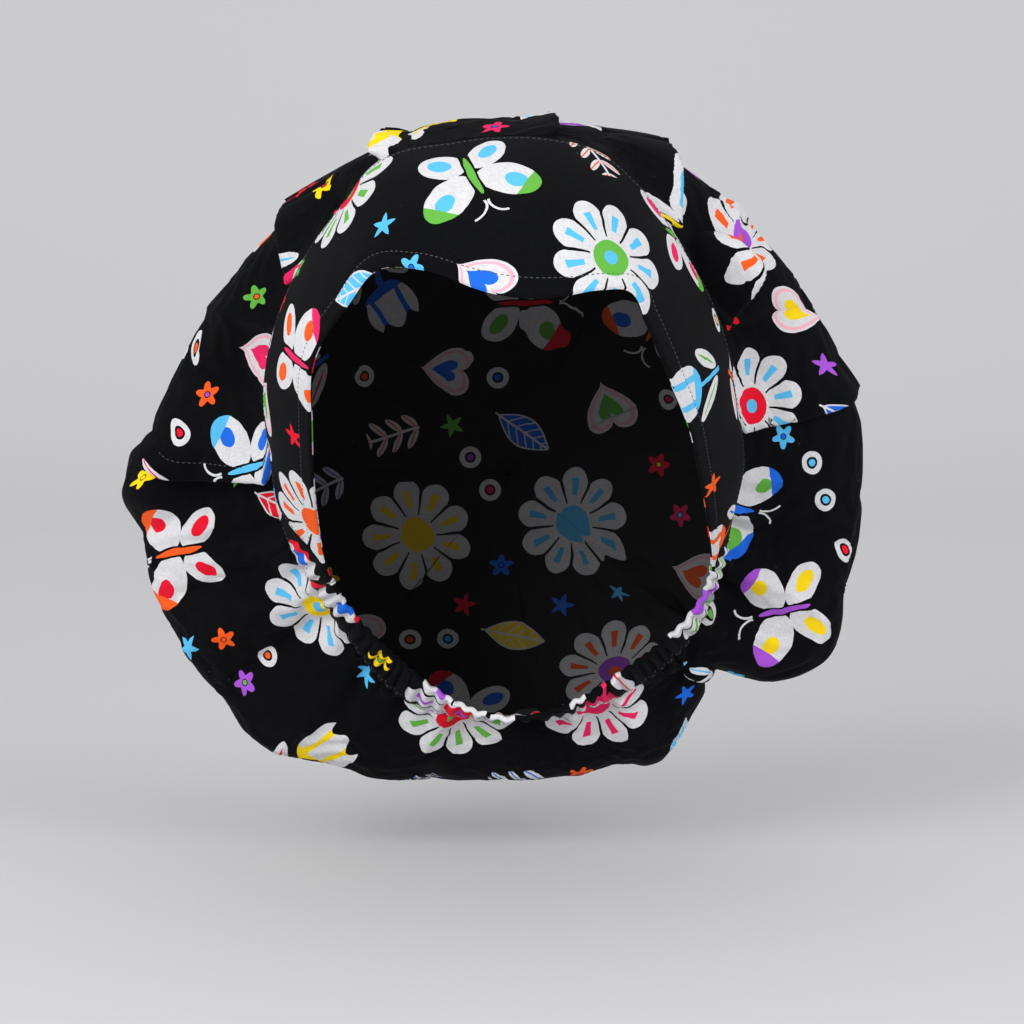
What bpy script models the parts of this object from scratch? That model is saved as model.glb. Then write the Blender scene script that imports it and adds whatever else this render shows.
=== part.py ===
"""Scrub cap with a wide front band, a full gathered pouch and an elastic nape casing.

Metres, +Z up. The face opening looks towards -Y and +X is the left side of the wearer.
The origin is where the top of the head touches the inside of the cap. The cap keeps the
form that it has when worn.

Every ring of the cap goes round one middle point straight below the origin. A place on
the cap is an angle (0 at the top, 90 on the +X side, 180 at the nape), a reach from the
middle and a depth along Y.
"""

import math

import bpy
import numpy as np

# Driving sizes.
CROWN_REACH = 0.1283        # middle of the rings to the cloth on top of the head
FACE_REACH = 0.085          # middle of the rings to the front edge at the temples
SEAM_REACH = 0.120          # middle of the rings to the pouch seam near the top
POUCH_REACH = 0.165         # middle of the rings to the widest part of the pouch
BROW_DEPTH = 0.082          # origin forwards to the band's front edge at the brow
NAPE_DEPTH = 0.085          # origin backwards to the casing's seam at the nape
POUCH_DEPTH = 0.172         # origin backwards to the back of the pouch
POUCH_SAG = 0.026           # how far the back of the pouch hangs below the middle
HEAD_CURVE = 0.090          # radius that the band bends to between its two edges
BACK_FULLNESS = 2.3         # exponent of the back curve; 2 is an ellipse
BAND_WALL = 0.0018
POUCH_WALL = 0.0012
CASING_WALL = 0.0022
SEAM_GAP = 0.0003           # clearance between sewn neighbours
SEAM_SETBACK = 0.016        # pouch cloth that first follows the band before it turns out
RIM_ROUNDING = 0.024        # length over which the pouch turns round its widest ring
BAND_ENDS = (-127.0, 122.0)     # angles of the band's two tips
CASING_STARTS = (-101.0, 106.0)  # angles where the casing leaves the pouch seam
TIP_WIDTH = 0.0012          # cloth left across each blunt tip
NAPE_GATHERS = 17           # gathers of the pouch on the casing
NAPE_GATHER_RISE = 0.0022
CASING_GATHERS = 26         # ruffles of the casing over its elastic
CASING_GATHER_RISE = 0.0009

# Mesh density.
POUCH_COLUMNS = 110
POUCH_FRONT_ROWS = 10
POUCH_BACK_ROWS = 9
RIM_COLUMNS = 110
BAND_ROWS = 6
CASING_ROWS = 2
FRONT_SHARE = POUCH_FRONT_ROWS / (POUCH_FRONT_ROWS + POUCH_BACK_ROWS)

# Front free edge: angle, reach as a share of FACE_REACH, depth from brow 0 to nape 1.
FACE_EDGE = (
    (-152, 1.20, 0.870), (-127, 1.065, 0.743), (-113, 0.967, 0.635), (-97, 0.907, 0.503),
    (-80, 0.909, 0.407), (-62, 0.978, 0.287), (-45, 1.000, 0.192), (-32, 1.038, 0.120),
    (-23, 0.950, 0.070), (-10, 0.812, 0.014), (6, 0.762, 0.000), (18, 0.806, 0.024),
    (27, 0.885, 0.062), (34, 0.940, 0.100), (44, 0.876, 0.150), (60, 0.812, 0.215),
    (80, 0.825, 0.320), (97, 0.885, 0.440), (111, 1.000, 0.575), (123, 1.150, 0.715),
    (152, 1.265, 0.870), (180, 1.385, 0.905),
)

# Seam of the pouch: angle, reach as a share of SEAM_REACH, depth from brow 0 to nape 1.
POUCH_SEAM = (
    (-157, 0.985, 0.965), (-143, 0.895, 0.922), (-128, 0.836, 0.862), (-112, 0.815, 0.790),
    (-92, 0.797, 0.733), (-76, 0.832, 0.670), (-59, 0.872, 0.575), (-46, 0.913, 0.503),
    (-33, 0.965, 0.431), (-24, 1.025, 0.383), (-10, 1.022, 0.335), (6, 1.025, 0.317),
    (17, 1.012, 0.341), (27, 0.950, 0.389), (42, 0.862, 0.473), (62, 0.798, 0.575),
    (80, 0.772, 0.670), (96, 0.788, 0.745), (112, 0.806, 0.802), (124, 0.862, 0.850),
    (140, 0.942, 0.898), (157, 0.985, 0.952), (180, 1.000, 1.000),
)

# Widest ring of the pouch: angle, reach as a share of POUCH_REACH, depth as a share of
# POUCH_DEPTH.
POUCH_OUTLINE = (
    (-160, 0.987, 0.674), (-142, 1.045, 0.625), (-122, 0.992, 0.552), (-104, 0.996, 0.494),
    (-90, 0.898, 0.450), (-76, 0.832, 0.390), (-60, 0.786, 0.290), (-44, 0.780, 0.186),
    (-33, 0.767, 0.100), (-17, 0.778, 0.040), (0, 0.7776, 0.029), (22, 0.796, 0.047),
    (42, 0.784, 0.190), (56, 0.792, 0.280), (70, 0.826, 0.340), (84, 0.872, 0.398),
    (100, 0.909, 0.450), (114, 0.948, 0.494), (127, 0.998, 0.535), (133, 0.950, 0.550),
    (140, 0.818, 0.575), (146, 0.876, 0.625), (157, 0.968, 0.663), (180, 0.925, 0.690),
)

# Overhanging folds that run from the seam to the back. The higher cloth hangs over the
# lower. Angle at the seam, angle at the widest ring, angle that the fold takes up,
# overhang as a share of that angle, drop of the lower layer and lift of the upper one as
# shares of POUCH_REACH, and the share of the way to the pole that it reaches.
OVERHANG_FOLDS = (
    (-97.5, -92.0, 14.0, 0.52, 0.032, 0.036, 0.86),
    (86.0, 76.5, 12.0, 0.42, 0.024, 0.010, 0.78),
    (146.0, 140.0, 11.0, 0.45, 0.030, 0.010, 0.80),
)

# Soft ridges and hollows: angle at the seam, angle at the widest ring, half width in
# degrees, rise as a share of POUCH_REACH (below 0 a hollow), and the shares of the way
# from seam to pole where it starts and ends.
RIDGES = (
    (-23.0, -22.5, 2.4, 0.026, 0.00, 0.92), (6.5, 6.5, 2.4, 0.020, 0.00, 0.92),
    (27.5, 27.5, 3.4, 0.022, 0.00, 0.92), (-43.0, -43.5, 3.2, 0.014, 0.00, 0.90),
    (-34.0, -35.0, 3.4, -0.016, 0.00, 0.70), (15.0, 17.0, 3.6, -0.014, 0.00, 0.70),
    (50.0, 56.0, 5.0, 0.034, 0.02, 0.44), (63.0, 66.0, 4.0, -0.022, 0.02, 0.60),
    (-66.0, -64.0, 5.5, 0.016, 0.10, 0.72), (-78.0, -78.0, 5.0, -0.018, 0.05, 0.66),
    (-118.0, -117.0, 4.2, -0.020, 0.05, 0.66), (-134.0, -131.0, 4.2, -0.026, 0.02, 0.72),
    (-125.0, -124.0, 4.0, 0.014, 0.05, 0.70), (108.0, 108.0, 5.0, -0.016, 0.08, 0.66),
    (120.0, 119.0, 4.2, 0.016, 0.04, 0.66), (168.0, 168.0, 6.0, 0.020, 0.20, 0.90),
    (-168.0, -168.0, 6.0, -0.018, 0.15, 0.90),
)

# Cloth colours: linear red, green, blue, then roughness.
BAND_CLOTH = (0.016, 0.017, 0.022, 0.86)
POUCH_CLOTH = (0.014, 0.015, 0.020, 0.88)
CASING_CLOTH = (0.015, 0.016, 0.021, 0.87)

MIDDLE_DROP = CROWN_REACH - POUCH_WALL / 2


def clear_scene():
    """Remove the objects that the scene starts with."""
    for item in list(bpy.data.objects):
        bpy.data.objects.remove(item, do_unlink=True)


def smooth_step(value):
    """Rise from 0 to 1 with level ends as the value goes from 0 to 1."""
    level = np.clip(value, 0.0, 1.0)
    return level * level * (3.0 - 2.0 * level)


def around(rows, column, angles):
    """Read a table's column at any angles, as a smooth curve that closes on itself."""
    table = np.array(rows, dtype=float)
    knots = np.concatenate((table[-2:, 0] - 360.0, table[:, 0], table[:2, 0] + 360.0))
    values = np.concatenate((table[-2:, column], table[:, column], table[:2, column]))
    slopes = np.gradient(values, knots)
    turned = (np.asarray(angles) + 180.0) % 360.0 - 180.0
    left = np.clip(np.searchsorted(knots, turned, side="right") - 1, 0, len(knots) - 2)
    span = knots[left + 1] - knots[left]
    part = (turned - knots[left]) / span
    start = values[left] * (1.0 + 2.0 * part) * (1.0 - part) ** 2
    end = values[left + 1] * part ** 2 * (3.0 - 2.0 * part)
    lean = slopes[left] * part * (1.0 - part) ** 2 - slopes[left + 1] * part ** 2 * (1.0 - part)
    return start + end + lean * span


def to_space(angles, reach, depth, drop=0.0):
    """Turn angle, reach and depth into X, Y, Z; drop lowers the middle of the ring."""
    turn = np.radians(angles)
    height = -MIDDLE_DROP - drop + reach * np.cos(turn)
    return np.stack(np.broadcast_arrays(reach * np.sin(turn), depth, height), axis=-1)


def edge_depth(share):
    """Depth of a place between the brow (0) and the nape (1)."""
    return -BROW_DEPTH + share * (BROW_DEPTH + NAPE_DEPTH)


def rim_sections(angles):
    """Front edge, bend and pouch seam of the rim at each angle, as (reach, depth) pairs."""
    front = np.stack((FACE_REACH * around(FACE_EDGE, 1, angles),
                      edge_depth(around(FACE_EDGE, 2, angles))), axis=-1)
    seam = np.stack((SEAM_REACH * around(POUCH_SEAM, 1, angles),
                     edge_depth(around(POUCH_SEAM, 2, angles))), axis=-1)
    chord = seam - front
    width = np.linalg.norm(chord, axis=-1, keepdims=True)
    outward = np.stack((chord[..., 1], -chord[..., 0]), axis=-1) / width
    bend = (front + seam) / 2 + outward * width ** 2 / (4.0 * HEAD_CURVE)
    return front, bend, seam


def rim_surface(angles, across):
    """Points of the rim: across is 0 on the front edge and 1 on the pouch seam."""
    front, bend, seam = rim_sections(angles)
    part = np.asarray(across)[..., None]
    flat = front * (1 - part) ** 2 + bend * 2 * part * (1 - part) + seam * part ** 2
    return to_space(angles, flat[..., 0], flat[..., 1])


def rim_width(angles):
    """Width of the rim from its front edge to the pouch seam."""
    front, bend, seam = rim_sections(angles)
    return (np.linalg.norm(seam - bend, axis=-1) + np.linalg.norm(bend - front, axis=-1)
            + np.linalg.norm(seam - front, axis=-1)) / 2


def rim_columns():
    """Angles of the rim's columns, which the band and the casing share where they meet."""
    even = np.linspace(-180.0, 180.0, RIM_COLUMNS, endpoint=False)
    ends = np.array(BAND_ENDS + CASING_STARTS)
    apart = np.min(np.abs(even[:, None] - ends[None, :]), axis=1)
    return np.sort(np.concatenate((even[apart > 90.0 / RIM_COLUMNS], ends)))


def rim_split(angles):
    """Share of the rim that the band takes, and the clearance beside it as a share."""
    left = (angles - BAND_ENDS[0]) / (CASING_STARTS[0] - BAND_ENDS[0])
    right = (BAND_ENDS[1] - angles) / (BAND_ENDS[1] - CASING_STARTS[1])
    width = rim_width(angles)
    has_band = (angles >= BAND_ENDS[0]) & (angles <= BAND_ENDS[1])
    has_casing = (angles <= CASING_STARTS[0]) | (angles >= CASING_STARTS[1])
    share = smooth_step(np.minimum(left, right))
    share = np.where(has_band, np.maximum(share, TIP_WIDTH / width), 0.0)
    share = np.where(has_casing, np.minimum(share, 1.0 - TIP_WIDTH / width), 1.0)
    return share, np.where(has_band & has_casing, SEAM_GAP / width, 0.0)


def pouch_base(angles, way):
    """Smooth pouch: way is 0 at the seam, FRONT_SHARE on the widest ring, 1 at the back."""
    front, bend, seam = rim_sections(angles)
    leave = (seam - bend) / np.linalg.norm(seam - bend, axis=-1, keepdims=True)
    start = seam + SEAM_GAP * leave
    widest = np.stack((POUCH_REACH * around(POUCH_OUTLINE, 1, angles),
                       POUCH_DEPTH * around(POUCH_OUTLINE, 2, angles)), axis=-1)
    turn_in = start + SEAM_SETBACK * leave
    turn_back = widest - np.array((0.0, RIM_ROUNDING))
    part = np.clip(way / FRONT_SHARE, 0.0, 1.0)[..., None]
    flat = (start * (1 - part) ** 3 + turn_in * 3 * part * (1 - part) ** 2
            + turn_back * 3 * part ** 2 * (1 - part) + widest * part ** 3)
    behind = np.clip((way - FRONT_SHARE) / (1.0 - FRONT_SHARE), 0.0, 1.0)
    swing = behind * math.pi / 2
    shrink = np.cos(swing) ** (2.0 / BACK_FULLNESS)
    reach = np.where(behind > 0, widest[..., 0] * shrink, flat[..., 0])
    back = np.sin(swing) ** (2.0 / BACK_FULLNESS)
    depth = np.where(behind > 0,
                     widest[..., 1] + (POUCH_DEPTH - widest[..., 1]) * back, flat[..., 1])
    return to_space(angles, reach, depth, POUCH_SAG * (1.0 - shrink))


def outward_normals(surface, angles, way):
    """Unit normals of a surface function, from small steps both ways."""
    step = 0.2
    reach = 0.004
    along = surface(angles + step, way) - surface(angles - step, way)
    ahead = np.minimum(way + reach, 1.0)
    behind = np.maximum(way - reach, 0.0)
    across = surface(angles, ahead) - surface(angles, behind)
    normal = np.cross(along, across)
    return normal / np.maximum(np.linalg.norm(normal, axis=-1, keepdims=True), 1e-12)


def fold_angle(row, way):
    """Angle of a fold or ridge at each share of the way from the seam."""
    return row[0] + (row[1] - row[0]) * np.clip(way / FRONT_SHARE, 0.0, 1.0)


def folded_pouch(angles, way):
    """Pouch with its folds: angles are pushed back and forth, and layers lifted."""
    moved = angles.copy()
    offset = np.zeros_like(angles)
    for row in OVERHANG_FOLDS:
        side = math.copysign(1.0, row[0])
        place = side * (angles - fold_angle(row, way)) / row[2]
        strength = smooth_step(way / 0.16) * smooth_step((row[6] - way) / 0.26)
        inside = np.clip(place, -1.0, 1.0)
        swing = np.sin(math.pi * inside) * (1.0 + np.cos(math.pi * inside)) / 1.3
        moved -= side * strength * row[2] * row[3] * swing
        under = smooth_step((place + 0.36) / 0.72) * (1.0 - smooth_step((place - 0.36) / 1.5))
        over = np.exp(-((place + 0.30) / 0.34) ** 2)
        offset += strength * POUCH_REACH * (row[5] * over - row[4] * under)
    for row in RIDGES:
        place = (angles - fold_angle(row, way)) / row[2]
        length = row[5] - row[4]
        strength = smooth_step((way - row[4]) / (0.3 * length))
        strength = strength * smooth_step((row[5] - way) / (0.5 * length))
        offset += POUCH_REACH * row[3] * strength * np.exp(-place ** 2)
    nape = smooth_step((np.abs(angles) - 104.0) / 22.0)
    gather = np.sin(np.radians(angles) * NAPE_GATHERS * 2.4)
    fade = smooth_step(way / 0.08) * (1.0 - smooth_step(way / 0.40))
    offset += NAPE_GATHER_RISE * nape * fade * gather
    return pouch_base(moved, way) + outward_normals(pouch_base, moved, way) * offset[..., None]


def crowded_angles(count):
    """Angles once round, closer together where folds and ridges need more columns."""
    fine = np.linspace(-180.0, 180.0, 7201)
    density = np.ones_like(fine)
    for row in OVERHANG_FOLDS:
        density += 2.6 * np.exp(-((fine - row[1]) / (0.75 * row[2])) ** 2)
    for row in RIDGES:
        density += 0.8 * np.exp(-((fine - row[1]) / (1.6 * row[2])) ** 2)
    total = np.concatenate(((0.0,), np.cumsum((density[1:] + density[:-1]) / 2)))
    return np.interp(np.arange(count) * total[-1] / count, total, fine)


def cloth_material(name, look):
    """Matte cloth of one colour."""
    material = bpy.data.materials.new(name)
    material.use_nodes = True
    shader = material.node_tree.nodes["Principled BSDF"]
    shader.inputs["Base Color"].default_value = (*look[:3], 1.0)
    shader.inputs["Roughness"].default_value = look[3]
    shader.inputs["Metallic"].default_value = 0.0
    return material


def add_cloth(name, points, wall, look, closed=False, pole=None):
    """Sheet of cloth over a grid of points, made into a wall with Solidify."""
    columns, rows = points.shape[:2]
    corners = [tuple(place) for place in points.reshape(-1, 3)]
    faces = []
    for column in range(columns if closed else columns - 1):
        here = column * rows
        there = (column + 1) % columns * rows
        for row in range(rows - 1):
            faces.append((here + row, there + row, there + row + 1, here + row + 1))
        if pole is not None:
            faces.append((here + rows - 1, there + rows - 1, len(corners)))
    if pole is not None:
        corners.append(tuple(pole))
    mesh = bpy.data.meshes.new(name)
    mesh.from_pydata(corners, [], faces)
    mesh.shade_smooth()
    cloth = bpy.data.objects.new(name, mesh)
    bpy.data.collections["scrub_cap"].objects.link(cloth)
    cloth.data.materials.append(cloth_material(name + "_cloth", look))
    solidify = cloth.modifiers.new("wall", "SOLIDIFY")
    solidify.thickness = wall
    solidify.offset = 0.0
    solidify.use_quality_normals = True
    return cloth


def add_front_band():
    """Doubled band from tip to tip, wide over the brow."""
    angles = rim_columns()
    angles = angles[(angles >= BAND_ENDS[0]) & (angles <= BAND_ENDS[1])]
    share, gap = rim_split(angles)
    across = (share - gap / 2)[:, None] * np.linspace(0.0, 1.0, BAND_ROWS + 1)
    grid = np.repeat(angles[:, None], BAND_ROWS + 1, axis=1)
    return add_cloth("front_band", rim_surface(grid, across), BAND_WALL, BAND_CLOTH)


def add_crown_pouch():
    """Gathered pouch from the seam to the middle of its back."""
    angles = crowded_angles(POUCH_COLUMNS)
    front = np.linspace(0.0, FRONT_SHARE, POUCH_FRONT_ROWS + 1)
    back = np.linspace(FRONT_SHARE, 1.0, POUCH_BACK_ROWS + 1)[1:-1]
    way = np.concatenate((front, back))
    grid, ways = np.meshgrid(angles, way, indexing="ij")
    pole = (0.0, POUCH_DEPTH, -MIDDLE_DROP - POUCH_SAG)
    return add_cloth("crown_pouch", folded_pouch(grid, ways), POUCH_WALL, POUCH_CLOTH,
                     closed=True, pole=pole)


def add_nape_casing():
    """Elastic casing behind the neck, from one end of the band to the other."""
    angles = rim_columns()
    right = angles[angles >= CASING_STARTS[1]]
    angles = np.concatenate((right, angles[angles <= CASING_STARTS[0]]))
    share, gap = rim_split(angles)
    first = (share + gap / 2)[:, None]
    part = np.linspace(0.0, 1.0, CASING_ROWS + 1)[None, :]
    grid = np.repeat(angles[:, None], CASING_ROWS + 1, axis=1)
    across = first + (1.0 - first) * part
    ruffle = np.cos(np.radians(grid) * CASING_GATHERS) * np.sin(math.pi * part)
    ruffle = ruffle * CASING_GATHER_RISE * smooth_step(1.0 - 2.0 * first)
    points = rim_surface(grid, across)
    points = points + outward_normals(rim_surface, grid, across) * ruffle[..., None]
    return add_cloth("nape_casing", points, CASING_WALL, CASING_CLOTH)


def main():
    clear_scene()
    collection = bpy.data.collections.new("scrub_cap")
    bpy.context.scene.collection.children.link(collection)
    add_front_band()
    add_crown_pouch()
    add_nape_casing()


main()
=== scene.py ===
"""Scrub cap: the finish of its cloth, its stitching, and a plain studio stage.

Metres, +Z up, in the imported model's frame. The cap goes round one middle point below the
origin. A place on it is an angle (0 at the top, 90 on the +X side, 180 at the nape), a
reach from the middle and a depth along Y. The print is a tossed pattern of flowers,
butterflies, tulips, hearts, leaves and small florets on black.
"""

import math

import bpy
import numpy as np
from bpy.props import FloatProperty, FloatVectorProperty, IntProperty, PointerProperty
from bpy.types import Operator, Panel, PropertyGroup
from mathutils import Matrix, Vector


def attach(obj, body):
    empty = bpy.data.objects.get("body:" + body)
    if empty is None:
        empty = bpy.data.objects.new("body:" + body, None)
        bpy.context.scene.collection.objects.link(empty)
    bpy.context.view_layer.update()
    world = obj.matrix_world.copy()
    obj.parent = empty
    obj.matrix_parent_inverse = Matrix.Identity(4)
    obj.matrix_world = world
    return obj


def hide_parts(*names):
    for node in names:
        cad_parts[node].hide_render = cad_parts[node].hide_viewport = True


bl_info = {
    "name": "Scrub cap",
    "version": (1, 0, 0),
    "blender": (4, 5, 0),
    "location": "3D View > Sidebar > Scrub cap",
    "description": "Builds the cloth, print and stitching of a bouffant scrub cap",
    "category": "Object",
}

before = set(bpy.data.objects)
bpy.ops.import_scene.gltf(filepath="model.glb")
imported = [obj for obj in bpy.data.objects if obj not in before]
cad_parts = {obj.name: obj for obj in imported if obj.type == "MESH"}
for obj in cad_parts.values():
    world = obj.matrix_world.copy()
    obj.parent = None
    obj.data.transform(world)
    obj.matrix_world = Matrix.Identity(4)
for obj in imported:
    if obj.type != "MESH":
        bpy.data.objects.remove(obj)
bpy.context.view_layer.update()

# Front free edge: angle, reach as a share of face_reach, depth from brow 0 to nape 1.
FACE_EDGE = (
    (-152, 1.20, 0.870), (-127, 1.065, 0.743), (-113, 0.967, 0.635), (-97, 0.907, 0.503),
    (-80, 0.909, 0.407), (-62, 0.978, 0.287), (-45, 1.000, 0.192), (-32, 1.038, 0.120),
    (-23, 0.950, 0.070), (-10, 0.812, 0.014), (6, 0.762, 0.000), (18, 0.806, 0.024),
    (27, 0.885, 0.062), (34, 0.940, 0.100), (44, 0.876, 0.150), (60, 0.812, 0.215),
    (80, 0.825, 0.320), (97, 0.885, 0.440), (111, 1.000, 0.575), (123, 1.150, 0.715),
    (152, 1.265, 0.870), (180, 1.385, 0.905),
)

# Seam of the pouch: angle, reach as a share of seam_reach, depth from brow 0 to nape 1.
POUCH_SEAM = (
    (-157, 0.985, 0.965), (-143, 0.895, 0.922), (-128, 0.836, 0.862), (-112, 0.815, 0.790),
    (-92, 0.797, 0.733), (-76, 0.832, 0.670), (-59, 0.872, 0.575), (-46, 0.913, 0.503),
    (-33, 0.965, 0.431), (-24, 1.025, 0.383), (-10, 1.022, 0.335), (6, 1.025, 0.317),
    (17, 1.012, 0.341), (27, 0.950, 0.389), (42, 0.862, 0.473), (62, 0.798, 0.575),
    (80, 0.772, 0.670), (96, 0.788, 0.745), (112, 0.806, 0.802), (124, 0.862, 0.850),
    (140, 0.942, 0.898), (157, 0.985, 0.952), (180, 1.000, 1.000),
)

# Widest ring of the pouch: angle, reach as a share of pouch_reach, depth as a share of
# pouch_depth.
POUCH_OUTLINE = (
    (-160, 0.978, 0.674), (-152, 0.990, 0.655), (-146, 1.020, 0.638), (-140, 1.036, 0.618),
    (-134, 1.012, 0.596), (-128, 1.004, 0.574), (-122, 0.986, 0.552), (-116, 0.990, 0.532),
    (-110, 0.984, 0.513), (-104, 0.974, 0.494), (-90, 0.895, 0.450), (-76, 0.828, 0.390),
    (-60, 0.781, 0.290), (-44, 0.780, 0.186), (-33, 0.776, 0.100), (-17, 0.787, 0.040),
    (0, 0.782, 0.029), (22, 0.802, 0.047), (42, 0.786, 0.190), (56, 0.797, 0.280),
    (70, 0.826, 0.340), (76, 0.834, 0.366), (84, 0.872, 0.398), (100, 0.900, 0.450),
    (114, 0.937, 0.494), (127, 0.988, 0.535), (133, 0.926, 0.550), (139, 0.800, 0.576),
    (142.5, 0.858, 0.598), (146, 0.886, 0.620), (151, 0.924, 0.642), (155, 0.944, 0.656),
    (160, 0.920, 0.668), (180, 0.918, 0.690),
)

# Overhanging folds: angle at the seam, angle at the widest ring, angle taken up, overhang
# as a share of it, drop of the lower and lift of the upper layer as shares of
# pouch_reach, the shares of the way to the pole over which the fold starts, its overhang
# ends and its swelling ends, and the lift's share that lasts beyond the overhang.
OVERHANG_FOLDS = (
    (-96.2, -90.8, 14.0, 0.54, 0.040, 0.034, 0.028, 0.47, 0.80, 0.0),
    (86.0, 80.8, 12.0, 0.46, 0.012, 0.012, 0.06, 0.62, 0.78, 1.0),
    (144.5, 136.6, 11.0, 0.45, 0.026, 0.010, 0.16, 0.80, 0.80, 1.0),
    (35.5, 25.5, 9.0, 0.50, 0.008, 0.024, 0.05, 0.82, 0.82, 1.0),
    (-52.0, -40.5, 9.0, 0.50, 0.020, 0.016, 0.05, 0.66, 0.72, 1.0),
    (8.0, 6.4, 5.0, 0.46, 0.008, 0.020, 0.05, 0.80, 0.84, 1.0),
    (-23.0, -20.8, 4.4, 0.46, 0.010, 0.034, 0.05, 0.80, 0.84, 1.0),
    (59.0, 43.5, 7.0, 0.58, 0.022, 0.030, 0.03, 0.36, 0.42, 0.0),
)

# Rounded ends of folds on the outline: angles where it starts, peaks, begins to fall and
# ends, height as a share of pouch_reach, and the shares of the way where it starts and
# ends.
NOSES = ((-88.6, -94.0, -98.5, -105.5, 0.070, 0.22, 0.84),)

# Ridges, creases and hollows: angle at the seam, angle at the widest ring, half width in
# degrees, rise as a share of pouch_reach, and the shares of the way where it starts and
# ends.
RIDGES = (
    (-34.0, -35.0, 3.4, -0.016, 0.00, 0.46), (15.0, 17.0, 3.6, -0.014, 0.00, 0.70),
    (63.0, 66.0, 4.0, -0.022, 0.02, 0.60), (-62.0, -66.0, 4.5, 0.018, 0.02, 0.56),
    (-78.0, -78.0, 5.0, -0.018, 0.05, 0.46), (-118.0, -116.0, 4.2, -0.022, 0.05, 0.48),
    (-134.0, -131.0, 4.2, -0.026, 0.02, 0.50), (-125.0, -124.0, 4.0, 0.014, 0.05, 0.70),
    (108.0, 108.0, 5.0, -0.016, 0.08, 0.48), (120.0, 119.0, 4.2, 0.016, 0.04, 0.46),
    (168.0, 168.0, 6.0, 0.020, 0.20, 0.90), (-168.0, -168.0, 6.0, -0.018, 0.15, 0.90),
    (100.0, 96.0, 3.0, 0.010, 0.00, 0.40), (-146.0, -144.0, 3.5, 0.016, 0.00, 0.60),
    (-108.0, -106.0, 3.0, 0.010, 0.02, 0.50), (46.0, 44.0, 3.0, 0.010, 0.20, 0.80),
    (180.0, 176.0, 5.0, 0.016, 0.02, 0.60), (156.0, 158.0, 4.0, 0.014, 0.05, 0.70),
    (-70.0, -70.0, 13.0, -0.032, 0.00, 0.32), (74.0, 74.0, 8.0, -0.018, 0.00, 0.26),
    (28.0, 28.0, 14.0, 0.014, 0.52, 0.96), (-12.0, -12.0, 11.0, -0.012, 0.55, 0.98),
    (-58.0, -58.0, 13.0, 0.014, 0.56, 0.97), (96.0, 96.0, 15.0, -0.015, 0.54, 0.96),
    (-104.0, -104.0, 12.0, -0.014, 0.55, 0.97), (134.0, 134.0, 13.0, 0.014, 0.60, 0.98),
)

# Dog-ears where a pleat stands out from the seam: angle, share of the way, half width in
# degrees, half length as a share of the way, and how far it stands outwards and
# forwards, as shares of pouch_reach.
DOG_EARS = ((49.5, 0.155, 8.5, 0.12, 0.066, 0.060),)

# Gathers on the nape elastic: waves once round, height as a share of pouch_reach, and the
# share of the way at which they have died out.
NAPE_GATHERS = ((128.0, 0.0060, 0.07), (61.0, 0.0095, 0.18), (29.0, 0.0140, 0.36))

# Inks of the print, linear.
INKS = (
    (0.90, 0.11, 0.015), (0.78, 0.008, 0.03), (0.015, 0.14, 0.70), (0.10, 0.50, 0.84),
    (0.93, 0.66, 0.01), (0.37, 0.085, 0.62), (0.13, 0.44, 0.06), (0.80, 0.02, 0.13),
)

# Motifs, by size: radius in metres, how many at most, and the kinds that they take in turn.
MOTIF_SIZES = (
    (0.0270, 80, (1, 2, 3)), (0.0145, 240, (4, 5, 6)), (0.0062, 900, (7, 8, 9)),
)

# Clear cloth between motifs, tries for each motif, the share of its radius that the drawing
# fills, the radii beyond which a face shows no motif, and a place outside every drawing.
MOTIF_GAP = 0.0040
MOTIF_TRIES = 24
MOTIF_FILL = 0.95
MOTIF_LIMIT = 1.3
NO_PLACE = 3.0

# Share of the way from the seam to the pole at which the pouch is widest.
FRONT_SHARE = 0.46

# Grids: columns and rows. The pouch has rows before and behind its widest ring.
POUCH_COLUMNS, FRONT_ROWS, BACK_ROWS = 560, 52, 34
BAND_COLUMNS, BAND_ROWS = 420, 56
CASING_COLUMNS, CASING_ROWS = 900, 15

# Settling: growth of the weave, frames, hold of the free points, shares of the way between
# which the points are free, and largest wrinkle.
SETTLE_GROWTH = 0.025
SETTLE_FRAMES = 18
SETTLE_HOLD = 0.25
FREE_FROM, FREE_TO = 0.006, 0.93
WRINKLE_LIMIT = 0.006

# Band's edge: rounding, rise and width of the rolled hem, fade beside it, and depth, place
# and width of the groove that the stitches lie in.
EDGE_ROUNDING = 0.0011
HEM_RISE, HEM_WIDTH, HEM_FADE = 0.00035, 0.0070, 0.0010
GROOVE_DEPTH, GROOVE_PLACE, GROOVE_WIDTH = 0.00028, 0.0076, 0.0007

# Band: length and height of its soft waves, seam to the rear stitches, and width of the band
# below which its tips have no stitches.
WAVE_LENGTH, WAVE_HEIGHT = 0.070, 0.0006
REAR_STITCHES = 0.0016
STITCHED_WIDTH = 0.012

# Casing: ruffles once round, their height, and the row of the grid that is stitched.
RUFFLES = 128.0
RUFFLE_HEIGHT = 0.0011
CASING_STITCHES = 12

# Stitches: length, gap, half width, half height, rise of the middle, dip of the ends, and
# points around and along each.
STITCH_LENGTH, STITCH_GAP = 0.0014, 0.0008
STITCH_HALF_WIDTH, STITCH_HALF_HEIGHT = 0.00019, 0.00014
STITCH_RISE, STITCH_DIP = 0.00012, 0.00004
STITCH_AROUND, STITCH_ALONG = 6, 5

# Soft lights: name, place, size, power, and the place that each is aimed at.
LIGHTS = (
    ("key_light", (-1.3, -1.5, 0.75), 1.5, 35.0, (0.0, 0.05, -0.13)),
    ("wall_light", (0.0, 1.0, 0.95), 1.2, 2.5, (0.0, 2.6, 0.55)),
    ("fill_light", (1.7, -1.1, 0.7), 1.5, 22.5, (0.0, 0.05, -0.13)),
)


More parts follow.
